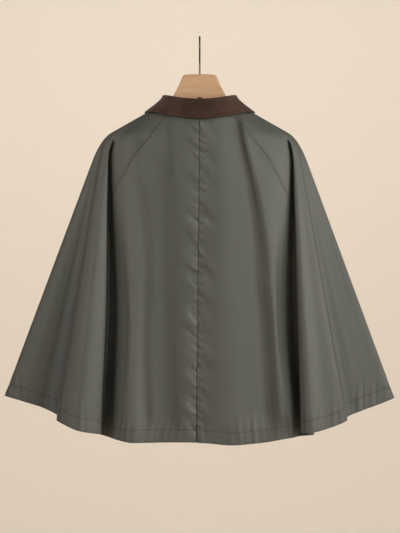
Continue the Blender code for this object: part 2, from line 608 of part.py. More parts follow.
def button_mesh():
    """Turned disc with a raised rim, its back on the XY plane."""
    disc = bmesh.new()
    verts = [disc.verts.new((x, 0, z)) for x, z in BUTTON_PROFILE]
    edges = [disc.edges.new(pair) for pair in zip(verts, verts[1:])]
    bmesh.ops.spin(disc, geom=verts + edges, axis=(0, 0, 1), cent=(0, 0, 0), dvec=(0, 0, 0),
                   angle=2 * pi, steps=18, use_merge=True, use_duplicate=False)
    bmesh.ops.remove_doubles(disc, verts=disc.verts, dist=1e-6)
    bmesh.ops.recalc_face_normals(disc, faces=disc.faces)
    mesh = bpy.data.meshes.new("button")
    disc.to_mesh(mesh)
    disc.free()
    mesh.shade_smooth()
    mesh.set_sharp_from_angle(angle=radians(40))
    return mesh


def buttons(half):
    """A row of buttons down the lap of the right front."""
    mesh = button_mesh()
    knot = half.line_to_knot(len(half.rows) - 1.5)
    for number in range(BUTTONS):
        height = BUTTON_TOP_Z - number * BUTTON_STEP
        rings = np.linspace(0.5, 2.0, 301)
        line = half.point(np.full_like(rings, knot), rings)
        ring = np.interp(-height, -line[:, 2], rings)
        out = Vector(half.normal(knot, ring))
        seat = Vector(half.point(knot, ring)) + out * (CLOTH / 2 + BUTTON_GAP)
        made = add_object(f"button_{number + 1}", mesh, material("horn", 0.35))
        turn = out.to_track_quat("Z", "X").to_matrix().to_4x4()
        made.matrix_world = Matrix.Translation(seat) @ turn


def build():
    clear_scene()
    left = Half(-1, LEFT_BACK + LEFT_FRONT, LEFT_BACK_SEAM, LEFT_FRONT_SEAM)
    right = Half(1, RIGHT_BACK + RIGHT_FRONT, RIGHT_BACK_SEAM, RIGHT_FRONT_SEAM)
    for half, word in ((left, "left"), (right, "right")):
        panel(half, f"back_{word}", None, "back")
        panel(half, f"side_{word}", "back", "front")
        panel(half, f"front_{word}", "front", None)
        collar(half, f"collar_{word}")
    hang_loop()
    hanger_board()
    hanger_hook()
    buttons(right)


build()
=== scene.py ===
from collections import namedtuple
from math import cos, pi, radians, sin

import bpy
import numpy as np
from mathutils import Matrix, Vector


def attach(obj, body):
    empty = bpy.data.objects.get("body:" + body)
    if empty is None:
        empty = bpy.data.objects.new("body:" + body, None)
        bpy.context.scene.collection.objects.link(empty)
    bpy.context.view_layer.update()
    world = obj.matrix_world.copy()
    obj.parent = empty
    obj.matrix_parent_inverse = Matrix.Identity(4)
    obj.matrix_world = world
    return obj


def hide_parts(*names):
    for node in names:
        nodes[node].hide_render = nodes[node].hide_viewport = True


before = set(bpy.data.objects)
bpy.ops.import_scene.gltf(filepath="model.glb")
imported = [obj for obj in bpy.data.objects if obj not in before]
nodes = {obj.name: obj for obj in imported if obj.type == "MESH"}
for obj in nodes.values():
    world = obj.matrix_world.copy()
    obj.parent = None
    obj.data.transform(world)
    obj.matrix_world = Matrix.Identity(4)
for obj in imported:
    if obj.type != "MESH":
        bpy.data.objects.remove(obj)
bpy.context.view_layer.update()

camera = {"target": (0.0007, 0.0, -0.5374), "distance": 3.2, "lens": 91.97, "sensor": 36.0}


def makeCamera(values):
    data = bpy.data.cameras.new("camera")
    data.lens, data.sensor_width = values["lens"], values["sensor"]
    made = bpy.data.objects.new("camera", data)
    bpy.context.scene.collection.objects.link(made)
    made.location = Vector(values["target"]) + Vector((0.0, -values["distance"], 0.0))
    made.rotation_euler = (pi / 2, 0.0, 0.0)
    bpy.context.scene.camera = made


makeCamera(camera)
print("camera made")

# the cape's surface: one line from neck to hem for each fold, left and right
cloth = {
    "wall": 0.0012,
    "hemWall": 0.0020,
    "hemHeight": 0.028,
    "turnAbove": 0.17,      # share of the slope that the rounded shoulder takes
    "turnBelow": 0.09,      # share of the fall that it takes
    "dipStart": 0.925,      # ring on the slope where a pleat begins
    "dipReach": 0.042,      # rings in which it opens
    "tuckReach": 0.03,
    "bowSkew": 1.2,
    "seamReach": 0.45,
    "lapLift": 0.0030,
}
neck = {"half": 0.083, "back": 0.046, "front": 0.052, "sideZ": -0.153,
        "backDrop": 0.032, "frontDrop": 0.070}
shoulder = {"half": 0.2324, "z": -0.238, "frontDrop": 0.034, "depth": 0.050}

# neck: degrees from the centre back; s: where it crosses the shoulder; h: hem; all in metres
Fold = namedtuple("Fold", "name neck sx sy hx hy hz bow dip tuck")
centreBack = Fold("centre back", 0, -0.001, -0.050, -0.008, -0.050, -0.945, 0.0, 0.0, 0.0)
leftFolds = (
    Fold("seam swell", 13, -0.025, -0.050, -0.034, -0.054, -0.944, 0.0, 0.0, 0.0),
    Fold("inner hollow", 29, -0.060, -0.0475, -0.078, -0.046, -0.945, 0.0, 0.0, 0.0),
    Fold("back crest", 46, -0.112, -0.0415, -0.125, -0.054, -0.945, 0.0, 0.0, 0.0),
    Fold("crest slope", 66, -0.168, -0.0320, -0.158, -0.064, -0.944, 0.006, 0.0, 0.0),
    Fold("trough wall", 72, -0.2035, -0.0165, -0.185, -0.045, -0.941, 0.018, 0.002, 0.0),
    Fold("trough floor", 74, -0.208, -0.0158, -0.226, 0.006, -0.935, 0.008, 0.020, -0.003),
    Fold("hidden turn", 76, -0.2105, -0.0152, -0.272, 0.000, -0.923, 0.0, 0.017, -0.008),
    Fold("ridge underside", 77.5, -0.2122, -0.0146, -0.260, -0.025, -0.922, 0.0, 0.006, -0.006),
    Fold("ridge inner edge", 79, -0.2142, -0.0140, -0.229, -0.052, -0.925, 0.004, -0.002, 0.0),
    Fold("ridge crown", 80.5, -0.217, -0.0135, -0.280, -0.086, -0.913, 0.0, 0.0, 0.0),
    Fold("ridge face", 82, -0.2205, -0.0120, -0.309, -0.073, -0.902, 0.0, 0.0, 0.0),
    Fold("ridge outer edge", 83.5, -0.224, -0.0105, -0.331, -0.050, -0.892, 0.0, 0.0, 0.0),
    Fold("wing turn", 84.5, -0.2265, -0.0090, -0.328, -0.028, -0.887, 0.0, 0.0, 0.0),
    Fold("wing hollow", 86, -0.229, -0.0070, -0.366, -0.002, -0.870, 0.0, 0.0, 0.0),
    Fold("wing", 88, -0.231, -0.0040, -0.411, -0.012, -0.854, 0.0, 0.0, 0.0),
    Fold("side", 90, -0.2324, 0.0, -0.459, 0.010, -0.842, 0.0, 0.0, 0.0),
    Fold("front wing", 92, -0.2318, 0.0040, -0.418, 0.038, -0.853, 0.0, 0.0, 0.0),
    Fold("front wing hollow", 94, -0.2295, 0.0075, -0.366, 0.026, -0.871, 0.0, 0.0, 0.0),
    Fold("front ridge outer", 96, -0.226, 0.0105, -0.326, 0.052, -0.887, 0.0, 0.0, 0.0),
    Fold("front ridge crown", 98, -0.2215, 0.0130, -0.283, 0.080, -0.902, 0.0, 0.0, 0.0),
    Fold("front ridge inner", 100, -0.216, 0.0145, -0.243, 0.064, -0.914, 0.0, 0.0, 0.0),
    Fold("front trough", 103, -0.207, 0.0160, -0.222, 0.028, -0.920, 0.0, 0.0, 0.0),
    Fold("front crest", 112, -0.168, 0.0270, -0.172, 0.066, -0.930, 0.0, 0.0, 0.0),
    Fold("front hollow", 128, -0.108, 0.0420, -0.108, 0.046, -0.936, 0.0, 0.0, 0.0),
    Fold("front swell", 149, -0.052, 0.0490, -0.056, 0.060, -0.938, 0.0, 0.0, 0.0),
    Fold("under the lap", 164, -0.024, 0.0500, -0.024, 0.060, -0.938, 0.0, 0.0, 0.0),
    Fold("left front edge", 192, 0.018, 0.0500, 0.018, 0.060, -0.938, 0.0, 0.0, 0.0),
)
rightFolds = (
    Fold("seam swell", 12, 0.0215, -0.050, 0.019, -0.056, -0.946, 0.0, 0.0, 0.0),
    Fold("centre crest", 29, 0.056, -0.0485, 0.076, -0.069, -0.949, 0.0, 0.0, 0.0),
    Fold("crest slope", 42, 0.092, -0.0460, 0.124, -0.062, -0.946, 0.0, 0.0, 0.0),
    Fold("diagonal hollow", 50, 0.122, -0.0430, 0.158, -0.056, -0.943, 0.004, 0.0, 0.0),
    Fold("narrow ridge", 66, 0.168, -0.0345, 0.186, -0.054, -0.938, -0.004, 0.0, 0.0),
    Fold("trough wall", 72, 0.207, -0.0170, 0.2135, -0.043, -0.935, -0.026, 0.002, 0.0),
    Fold("trough floor", 74, 0.213, -0.0152, 0.238, 0.004, -0.936, -0.011, 0.020, 0.003),
    Fold("hidden turn", 76, 0.2155, -0.0147, 0.267, -0.002, -0.933, -0.002, 0.018, 0.004),
    Fold("ridge underside", 77.5, 0.2172, -0.0141, 0.257, -0.028, -0.928, 0.0, 0.008, 0.002),
    Fold("ridge inner edge", 79, 0.2188, -0.0135, 0.235, -0.052, -0.923, 0.0, -0.002, 0.0),
    Fold("ridge crown", 81, 0.2208, -0.0128, 0.250, -0.079, -0.9205, 0.0, 0.0, 0.0),
    Fold("ridge face", 82.5, 0.2235, -0.0115, 0.291, -0.066, -0.912, 0.0, 0.0, 0.0),
    Fold("ridge outer edge", 84, 0.2262, -0.0095, 0.341, -0.046, -0.8935, 0.0, 0.0, 0.0),
    Fold("wing turn", 85, 0.228, -0.0080, 0.342, -0.030, -0.889, 0.0, 0.0, 0.0),
    Fold("wing hollow", 86.5, 0.230, -0.0055, 0.381, -0.014, -0.874, 0.0, 0.0, 0.0),
    Fold("wing", 88, 0.2315, -0.0030, 0.4195, -0.003, -0.8615, 0.0, 0.0, 0.0),
    Fold("side", 90, 0.2324, 0.0, 0.458, 0.010, -0.847, 0.0, 0.0, 0.0),
    Fold("front wing", 92, 0.2318, 0.0040, 0.412, 0.036, -0.860, 0.0, 0.0, 0.0),
    Fold("front wing hollow", 94, 0.2295, 0.0075, 0.372, 0.024, -0.874, 0.0, 0.0, 0.0),
    Fold("front ridge outer", 96, 0.226, 0.0105, 0.336, 0.050, -0.889, 0.0, 0.0, 0.0),
    Fold("front ridge crown", 98, 0.2215, 0.0130, 0.290, 0.082, -0.904, 0.0, 0.0, 0.0),
    Fold("front ridge inner", 100, 0.216, 0.0145, 0.249, 0.062, -0.916, 0.0, 0.0, 0.0),
    Fold("front trough", 103, 0.207, 0.0160, 0.228, 0.026, -0.922, 0.0, 0.0, 0.0),
    Fold("front crest", 112, 0.168, 0.0280, 0.168, 0.070, -0.932, 0.0, 0.0, 0.0),
    Fold("front hollow", 128, 0.108, 0.0440, 0.104, 0.050, -0.938, 0.0, 0.0, 0.0),
    Fold("front swell", 149, 0.052, 0.0515, 0.054, 0.064, -0.940, 0.0, 0.0, 0.0),
    Fold("over the lap", 165, 0.022, 0.0530, 0.022, 0.063, -0.940, 0.0, 0.0, 0.0),
    Fold("right front edge", 194, -0.022, 0.0530, -0.022, 0.063, -0.940, 0.0, 0.0, 0.0),
)
# a seam's course: ring 0 is the neck, 1 the shoulder, 2 the hem; line counts the folds
seams = {
    -1: {"back": ((0.45, 3.17), (0.88, 3.17), (0.952, 3.33), (1.002, 3.54), (1.05, 3.76),
                  (1.092, 4.0), (1.14, 4.5), (1.177, 5.05), (1.24, 5.9), (1.3, 6.0)),
         "front": ((0.6, 23.55), (1.0, 23.30), (1.10, 22.90), (1.18, 22.40), (1.28, 22.0))},
    1: {"back": ((0.49, 3.9), (0.63, 4.0), (0.9, 4.06), (0.995, 4.4), (1.047, 4.69),
                 (1.092, 4.98), (1.135, 5.35), (1.177, 5.8), (1.24, 6.7), (1.3, 7.0)),
        "front": ((0.6, 24.55), (1.0, 24.30), (1.10, 23.90), (1.18, 23.40), (1.28, 23.0))},
}
# softer creases of the back: a ramp that faces left, down a line through these places
Crease = namedtuple("Crease", "name height path")     # path: x, z and half width, from the top
creases = (
    Crease("diagonal", 0.0068, ((0.091, -0.195, 0.009), (0.1045, -0.264, 0.009), (0.1205, -0.334, 0.011),
                                (0.1345, -0.416, 0.012), (0.1445, -0.499, 0.014), (0.1485, -0.581, 0.016),
                                (0.1575, -0.663, 0.018), (0.1635, -0.745, 0.018), (0.1725, -0.900, 0.018))),
    Crease("left of the back", 0.0016, ((-0.137, -0.330, 0.008), (-0.118, -0.50, 0.008),
                                        (-0.1215, -0.74, 0.009), (-0.115, -0.90, 0.010))),
    Crease("beside the middle", 0.0030, ((-0.074, -0.290, 0.012), (-0.0655, -0.42, 0.014),
                                         (-0.064, -0.58, 0.016), (-0.055, -0.91, 0.014))),
)
paintedBands = (  # painted light and shade only, set to the photograph: bands that lift nothing
    Crease("upper left", 0.0, ((-0.143, -0.215, 0.009), (-0.143, -0.30, 0.010), (-0.125, -0.40, 0.010))),
    Crease("upper middle", 0.0, ((-0.071, -0.190, 0.010), (-0.069, -0.27, 0.010), (-0.066, -0.33, 0.010))),
    Crease("right of the middle", 0.0, ((0.038, -0.200, 0.010), (0.045, -0.38, 0.012),
                                        (0.040, -0.50, 0.014))),
    Crease("left rise", 0.0, ((-0.168, -0.330, 0.012), (-0.168, -0.55, 0.014), (-0.160, -0.88, 0.018))),
    Crease("left light", 0.0, ((-0.140, -0.280, 0.022), (-0.138, -0.60, 0.022), (-0.140, -0.90, 0.022))),
    Crease("right light", 0.0, ((0.060, -0.220, 0.020), (0.060, -0.55, 0.024), (0.068, -0.90, 0.024))),
    Crease("beside the diagonal", 0.0, ((0.130, -0.330, 0.010), (0.156, -0.50, 0.012), (0.171, -0.70, 0.014),
                                        (0.184, -0.90, 0.014))),
)
creaseAndBandShading = (  # painted shade (below 0), painted light (above 0) and width, in the order of the creases and then the painted bands
    (-0.24, 0.65), (-0.19, 1.5), (-0.24, 1.2),
    (-0.18, 1.0), (-0.22, 1.0), (-0.07, 1.0), (0.08, 1.4), (0.18, 1.0), (0.16, 1.0), (-0.18, 1.2),
)


def ease(value):
    value = np.clip(value, 0.0, 1.0)
    return value * value * (3 - 2 * value)


def through(knots, values, at, monotone=False):
    # smooth curve through the values; a monotone one never overshoots
    step = np.diff(knots)
    slope = np.diff(values) / step
    inner = (slope[:-1] * step[1:] + slope[1:] * step[:-1]) / (step[:-1] + step[1:])
    if monotone:
        limit = 3 * np.minimum(abs(slope[:-1]), abs(slope[1:]))
        inner = np.where(slope[:-1] * slope[1:] > 0, np.clip(inner, -limit, limit), 0.0)
    grade = np.concatenate(([slope[0]], inner, [slope[-1]]))
    left = np.clip(np.searchsorted(knots, at, side="right") - 1, 0, len(knots) - 2)
    width = knots[left + 1] - knots[left]
    part = (at - knots[left]) / width
    square, cube = part ** 2, part ** 3
    return ((2 * cube - 3 * square + 1) * values[left] + (cube - 2 * square + part) * width * grade[left]
            + (3 * square - 2 * cube) * values[left + 1] + (cube - square) * width * grade[left + 1])


def neckRing(degrees, side, ring=neck):
    turn = np.radians(degrees)
    behind = np.cos(turn) > 0
    depth = np.where(behind, ring["back"], ring["front"])
    drop = np.where(behind, ring["backDrop"], ring["frontDrop"])
    lift = cloth["lapLift"] * ease((np.asarray(degrees) - 140) / 24) * (side > 0)
    return np.stack([side * ring["half"] * np.sin(turn), -depth * np.cos(turn) + lift,
                     ring["sideZ"] - drop * np.cos(turn) ** 2], axis=-1)


def creaseShare(crease, points):
    # distance across a crease in its own widths, and how much of it is left there
    x, z = points[..., 0], points[..., 2]
    across, height, width = np.array(crease.path).T
    middle = through(-height, across, np.clip(-z, -height[0], -height[-1]))
    share = (x - middle) / np.interp(-z, -height, width)
    return share, ease((height[0] + 0.03 - z) / 0.06) * ease((z - height[-1] + 0.03) / 0.06)


def creaseLift(points):
    lift = np.zeros(points.shape[:-1])
    for crease in creases:
        share, fade = creaseShare(crease, points)
        lift += crease.height * 2 * share / (1 + share ** 2) * fade
    return lift


def paintedCreaseShade(points):
    # painted shade along the creases, and painted light and shade in the bands, by distance across each
    tone = np.zeros(points.shape[:-1])
    for crease, (shade, wide) in zip(creases + paintedBands, creaseAndBandShading):
        share, fade = creaseShare(crease, points)
        tone += shade * fade * np.exp(-(share / wide) ** 2)
    return tone


class Half:
    # one half of the cape, from the centre back round to the front edge
    def __init__(self, side, folds):
        self.side = side
        self.folds = (centreBack,) + folds
        hem = np.array([(f.hx, f.hy, f.hz) for f in self.folds])
        spacing = np.linalg.norm(np.diff(hem, axis=0), axis=1) ** 0.75
        self.knots = np.concatenate(([0.0], np.cumsum(spacing)))

    def column(self, field, at, monotone=True):
        values = np.array([getattr(f, field) for f in self.folds], dtype=float)
        return through(self.knots, values, at, monotone)

    def lineToKnot(self, line):
        return np.interp(line, np.arange(len(self.folds)), self.knots)

    def degreesToKnot(self, degrees):
        return np.interp(degrees, [f.neck for f in self.folds], self.knots)

    def seam(self, name, ring):
        rings, lines = np.array(seams[self.side][name]).T
        return through(rings, self.lineToKnot(lines), np.clip(ring, rings[0], rings[-1]), True)

    def point(self, knot, ring):
        knot, ring = np.broadcast_arrays(np.asarray(knot, float), np.asarray(ring, float))
        top = neckRing(self.column("neck", knot), self.side)
        depth = self.column("sy", knot)
        drop = shoulder["frontDrop"] * ease(depth / shoulder["depth"])
        turn = np.stack([self.column("sx", knot), depth, shoulder["z"] - drop], axis=-1)
        hem = np.stack([self.column(f, knot, False) for f in ("hx", "hy", "hz")], axis=-1)
        above = top + (turn - top) * np.clip(ring, 0, 1 - cloth["turnAbove"])[..., None]
        below = turn + (hem - turn) * np.clip(ring - 1, cloth["turnBelow"], 1)[..., None]
        corner = np.clip((ring - 1 + cloth["turnAbove"]) / (cloth["turnAbove"] + cloth["turnBelow"]),
                         0, 1)[..., None]
        out = above * (1 - corner) ** 2 + turn * 2 * corner * (1 - corner) + below * corner ** 2
        down = np.clip(ring - 1, 0, 1)
        tucked = (1 - np.exp(-down / cloth["tuckReach"])) * (1 - down)
        dipped = (1 - np.exp(-np.clip(ring - cloth["dipStart"], 0, 1) / cloth["dipReach"])) * (1 - down)
        out[..., 0] += self.column("bow", knot) * np.sin(pi * down ** cloth["bowSkew"]) ** 2
        out[..., 0] += self.column("tuck", knot) * tucked
        out[..., 1] += self.column("dip", knot) * dipped
        out[..., 1] -= creaseLift(out) * ease((self.knots[13] - knot) / (self.knots[13] - self.knots[8]))
        return out

    def normal(self, knot, ring):
        small = 1e-4
        across = (self.point(np.clip(knot + small, 0, self.knots[-1]), ring)
                  - self.point(np.clip(knot - small, 0, self.knots[-1]), ring))
        down = (self.point(knot, np.clip(ring + small, 0, 2))
                - self.point(knot, np.clip(ring - small, 0, 2)))
        out = np.cross(across, down) * -self.side
        return out / np.linalg.norm(out, axis=-1, keepdims=True)


left, right = Half(-1, leftFolds), Half(1, rightFolds)

detail = {
    "columnStep": 0.0040,     # metres between columns
    "rowStep": 0.0036,        # metres between rows
    "besideSeam": (0.0009, 0.0018, 0.0028, 0.0040, 0.0056),   # more columns there
    "seamDepth": 0.0007,      # how deep a seam lies
    "seamWidth": 0.0022,
    "weltRise": 0.0005,       # the allowance under one side of a seam
    "weltWidth": 0.0075,
    "puckerRise": 0.0014,
    "puckerReach": 0.014,     # how far puckers run from a seam
    "puckerStep": 0.024,
    "dragRise": 0.0021,       # longer pulls that run slantwise to the centre seam
    "dragStep": 0.070,
    "dragFrom": 0.018,        # where they are widest
    "dragReach": 0.019,
    "raglanPucker": 0.0004,   # the same beside the raglan seams
    "hemPucker": 0.0013,
    "hemPuckerStep": 0.018,
    "hemPuckerReach": 0.036,
}
wornAndPaintedLight = {  # painted light and shade of the cloth, set to the photograph: above 0 is lighter
    # seamLine, raglanLine and hemLine: painted shade in seam and stitch valleys; seamEdge: painted highlight
    # beside the seam; pucker, drag and hemPucker: painted light on ripple ridges, painted shade in their
    # hollows; rim: painted shade along the hem's edge; wing: painted shade over the outer wings
    "seamLine": -0.75, "seamLineWidth": 0.0013,
    "raglanLine": -0.50, "raglanLineWidth": 0.0009,
    "seamEdge": 0.16,
    "pucker": 0.42, "drag": 0.24,
    "hemLine": -0.20,
    "hemPucker": 0.24,
    "rim": -0.22,
    "wing": -0.21, "wingFrom": 0.24,
}


def panelEdges(half, lowSeam, highSeam, ring):
    low = half.seam(lowSeam, ring) if lowSeam else np.zeros_like(ring)
    high = half.seam(highSeam, ring) if highSeam else np.full_like(ring, half.knots[-1])
    return low, high


def wave(position, step, seed):
    # uneven ripple: three sines whose lengths don't share a multiple
    return (np.sin(2 * pi * position / step + seed)
            + 0.6 * np.sin(2 * pi * position / (step * 0.61) + seed * 2.3)
            + 0.45 * np.sin(2 * pi * position / (step * 1.73) + seed * 4.1)) / 2.05


def panelSurface(half, lowSeam, highSeam, coarse=1.0):
    # knots, rings, points, normals and metre coordinates of one panel
    hemLow, hemHigh = panelEdges(half, lowSeam, highSeam, np.array([2.0]))
    probe = np.linspace(hemLow[0], hemHigh[0], 400)
    length = np.concatenate(([0], np.cumsum(np.linalg.norm(
        np.diff(half.point(probe, 2.0), axis=0), axis=1))))
    near = np.array(detail["besideSeam"])
    stops = np.linspace(0, length[-1], int(length[-1] / (detail["columnStep"] * coarse)) + 1)
    stops = np.concatenate([[0], near, stops[2:-2], length[-1] - near[::-1], [length[-1]]])
    count = len(stops)
    columns = 0.5 * (np.interp(stops, length, probe)
                     + hemLow[0] + (hemHigh[0] - hemLow[0]) * stops / length[-1])
    hemTop = 2 - cloth["hemHeight"] / 0.68
    step = detail["rowStep"] * coarse
    rings = np.concatenate([
        np.linspace(0, 0.80, int(0.12 / step), endpoint=False),
        np.linspace(0.80, 1.16, int(0.16 / step), endpoint=False),
        np.linspace(1.16, hemTop - 0.006, int(0.52 / step), endpoint=False),
        np.linspace(hemTop - 0.006, hemTop + 0.006, 5, endpoint=False),
        np.linspace(hemTop + 0.006, 2.0, 5)])
    low, high = panelEdges(half, lowSeam, highSeam, rings)
    byLow = np.clip(1 - (columns - hemLow) / cloth["seamReach"], 0, 1)
    byHigh = np.clip(1 - (hemHigh - columns) / cloth["seamReach"], 0, 1)
    knots = (columns[None] + (low - hemLow)[:, None] * byLow[None]
             + (high - hemHigh)[:, None] * byHigh[None])
    ring = np.repeat(rings[:, None], count, axis=1)
    points = half.point(knots, ring)
    normals = half.normal(knots, ring)
    across = np.linalg.norm(np.diff(points, axis=1), axis=2)
    across = np.concatenate([np.zeros((len(rings), 1)), np.cumsum(across, axis=1)], axis=1)
    down = np.linalg.norm(np.diff(points, axis=0), axis=2)
    down = np.concatenate([np.zeros((1, count)), np.cumsum(down, axis=0)], axis=0)
    return knots, ring, points, normals, across, down


def seamRelief(distance, welt):
    # outer face only: a narrow valley at the seam, and a welt beside it
    relief = -detail["seamDepth"] * np.exp(-(distance / detail["seamWidth"]) ** 2)
    if welt:
        relief += detail["weltRise"] * (ease(distance / 0.0016)
                                        - ease((distance - detail["weltWidth"]) / 0.0018))
    return relief


def wallMesh(name, outer, inner, flip, uv, tone):
    rows, columns = outer.shape[:2]
    index = np.arange(rows * columns).reshape(rows, columns)
    shift = rows * columns
    quad = np.stack([index[:-1, :-1], index[1:, :-1], index[1:, 1:], index[:-1, 1:]], -1).reshape(-1, 4)
    rim = np.concatenate([index[0, :], index[1:, -1], index[-1, -2::-1], index[-2:0:-1, 0]])
    after = np.roll(rim, -1)
    edge = np.stack([rim, after, after + shift, rim + shift], -1)
    faces = np.concatenate([quad, quad[:, ::-1] + shift, edge])
    if flip:
        faces = faces[:, ::-1]
    mesh = bpy.data.meshes.new(name)
    mesh.from_pydata(np.concatenate([outer.reshape(-1, 3), inner.reshape(-1, 3)]).tolist(), [],
                     faces.tolist())
    layer = mesh.uv_layers.new(name="metres")
    flat = np.concatenate([uv.reshape(-1, 2)] * 2)
    layer.data.foreach_set("uv", flat[faces.reshape(-1)].astype(np.float32).reshape(-1))
    # the painted light and shade of each point, which the materials read
    paintedShading = mesh.attributes.new("paintedShading", "FLOAT", "POINT")
    paintedShading.data.foreach_set("value", np.concatenate([tone.reshape(-1)] * 2).astype(np.float32))
    mesh.shade_smooth()
    mesh.set_sharp_from_angle(angle=radians(55))
    made = bpy.data.objects.new(name, mesh)
    bpy.context.scene.collection.objects.link(made)
    return made


def makePanel(name, half, lowSeam, highSeam, coarse, welts, seed):
    knots, ring, points, normals, across, down = panelSurface(half, lowSeam, highSeam, coarse)
    toLow, toHigh = across, across[:, -1:] - across
    fromHem = down[-1:] - down
    lift, relief, tone = np.zeros_like(ring), np.zeros_like(ring), np.zeros_like(ring)
    for distance, seam, welt in ((toLow, lowSeam or "centre", welts[0]), (toHigh, highSeam, welts[1])):
        if seam is None:      # the front edge
            continue
        relief += seamRelief(distance, welt)
        slant = (down - half.side * (0.6 * distance + 8 * distance ** 2)
                 + 0.009 * wave(down, 0.15, seed * 3) + 0.004 * wave(distance, 0.021, seed))
        ripple = wave(slant, detail["puckerStep"], seed)
        reach = detail["puckerReach"] * (1 + 0.5 * wave(down, 0.09, seed))
        fade = (np.exp(-(distance / reach) ** 2) * ease(down / 0.02)
                * np.clip(1.0 + 0.5 * wave(down, 0.13, seed * 2), 0.75, 1.35))
        if seam != "centre":
            lift += detail["raglanPucker"] * ripple * fade
            # painted shade in the raglan seam's valley
            tone += wornAndPaintedLight["raglanLine"] * np.exp(-(distance / wornAndPaintedLight["raglanLineWidth"]) ** 2)
            continue
        # painted shade in the centre seam's valley; painted light and shade over its puckers and pulls;
        # painted highlight beside it on the left half
        line = np.exp(-(distance / wornAndPaintedLight["seamLineWidth"]) ** 2)
        drag = wave(slant, detail["dragStep"], seed * 1.6)
        dragFade = (np.exp(-((distance - detail["dragFrom"]) / detail["dragReach"]) ** 2)
                    * ease(down / 0.07) * np.clip(0.95 + 0.6 * wave(down, 0.21, seed * 5), 0.55, 1.4))
        lift += detail["puckerRise"] * ripple * fade + detail["dragRise"] * drag * dragFade
        tone += wornAndPaintedLight["seamLine"] * line + (1 - line) * (
            wornAndPaintedLight["pucker"] * ripple * fade + wornAndPaintedLight["drag"] * drag * dragFade
            + wornAndPaintedLight["seamEdge"] * np.exp(-((distance - 0.0035) / 0.0016) ** 2) * (half.side < 0))
    turned = ease((cloth["hemHeight"] + 0.0015 - fromHem) / 0.003)
    stitchLine = np.exp(-((fromHem - cloth["hemHeight"]) / 0.0018) ** 2)
    relief += turned * 0.0003 - 0.0006 * stitchLine
    along = across + seed * 0.37
    hemFade = (np.exp(-((fromHem - cloth["hemHeight"] * 0.8) / detail["hemPuckerReach"]) ** 2)
               * np.clip(0.7 + 0.9 * wave(along, 0.11, seed), 0.15, 1.6))
    hemRipple = wave(along + fromHem * 0.12, detail["hemPuckerStep"], seed * 1.7) * hemFade
    lift += detail["hemPucker"] * hemRipple
    # painted light and shade over the hem's puckers, and painted shade along its stitch line and its edge
    tone += (wornAndPaintedLight["hemPucker"] * hemRipple + wornAndPaintedLight["hemLine"] * stitchLine
             + wornAndPaintedLight["rim"] * np.exp(-(fromHem / 0.0016) ** 2))
    # painted light and shade of the creases and bands, fading out past the ridge's inner edge
    tone += paintedCreaseShade(points) * ease((half.knots[10] - knots) / 0.15)
    # painted shade over the outer wings, darker away from the middle
    tone += wornAndPaintedLight["wing"] * ease((abs(points[..., 0]) - wornAndPaintedLight["wingFrom"]) / 0.10)
    points = points + normals * lift[..., None]
    half_ = cloth["wall"] / 2
    outer = points + normals * (half_ + relief)[..., None]
    inner = points - normals * (half_ + turned * (cloth["hemWall"] - cloth["wall"]))[..., None]
    uv = np.stack([across - across[:, -1:] / 2, down], axis=-1)
    made = wallMesh(name, outer, inner, half.side > 0, uv, tone)
    return made, {"outer": outer, "normals": normals, "across": across, "down": down}


panelList = (
    # name, half, seam on the centre side, seam on the front side, coarseness, welts, seed
    ("back_left", left, None, "back", 1.0, (False, True), 1.3),
    ("back_right", right, None, "back", 1.0, (True, True), 2.9),
    ("side_left", left, "back", "front", 1.0, (False, False), 4.2),
    ("side_right", right, "back", "front", 1.0, (False, False), 0.7),
    ("front_left", left, "front", None, 1.5, (False, False), 5.1),
    ("front_right", right, "front", None, 1.5, (False, False), 3.6),
)
panels, grids = {}, {}
for name, half, lowSeam, highSeam, coarse, welts, seed in panelList:
    panels[name], grids[name] = makePanel(name + "_cloth", half, lowSeam, highSeam, coarse, welts, seed)
    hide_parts(name)
    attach(panels[name], "root")
print("panels made")

collar = {
    "wall": 0.0024,
    "rollRadius": 0.0038,
    "roll": {"half": 0.0800, "back": 0.0425, "front": 0.0490, "sideZ": -0.136,
             "backDrop": 0.0135, "frontDrop": 0.056},
    "end": 176.0, "point": 146.0, "spread": 95.0,
    "edge": (0.222, 0.08, 0.608),
    "lift": (0.0035, 0.0085, 0.0025),
    "bend": (0.0030, 0.0080),
    "sections": 150,
    "edgeStitch": 0.0065,
    "rollAt": 0.024,          # from the seam to the top of the roll
    # the first two: painted highlight on the roll's top and near the edge; under: painted shadow beneath the
    # edge; sides: lighter towards the ends
    "paintedShading": 0.36, "edgeHighlight": 0.24, "under": -0.70, "sides": 0.17,
}


def collarSection(half, degrees):
    side = half.side
    seam = neckRing(degrees, side)
    roll = neckRing(degrees, side, collar["roll"])
    turn = radians(degrees)
    depth = neck["back"] if degrees < 90 else neck["front"]
    out = np.array([side * sin(turn) * depth, -cos(turn) * neck["half"], 0.0])
    out /= np.linalg.norm(out)
    toFront = ease((degrees - collar["spread"]) / (collar["end"] - collar["spread"]))
    toBack = max(cos(turn), 0.0) ** 2
    edgeRing = np.dot(collar["edge"], (1, 1 - toBack ** 2, toFront))
    lift = np.dot(collar["lift"], (1, toBack, toFront))
    knot = half.degreesToKnot(degrees - (collar["end"] - collar["point"]) * toFront)
    edge = half.point(knot, edgeRing) + half.normal(knot, edgeRing) * lift
    up = np.array([0.0, 0.0, 1.0])
    radius = collar["rollRadius"]
    bottom = seam + up * 0.0009
    standTop = roll - up * radius
    points = [bottom + (standTop - bottom) * part for part in np.linspace(0, 1, 9)[:-1]]
    centre = standTop + out * radius
    for angle in np.linspace(pi, 0, 13):
        points.append(centre + (out * cos(angle) + up * sin(angle)) * radius)
    top = points[-1]
    bend = top + out * collar["bend"][0] - up * collar["bend"][1]
    for part in np.linspace(0, 1, 21)[1:]:
        points.append(top * (1 - part) ** 2 + bend * 2 * part * (1 - part) + edge * part ** 2)
    return np.array(points)


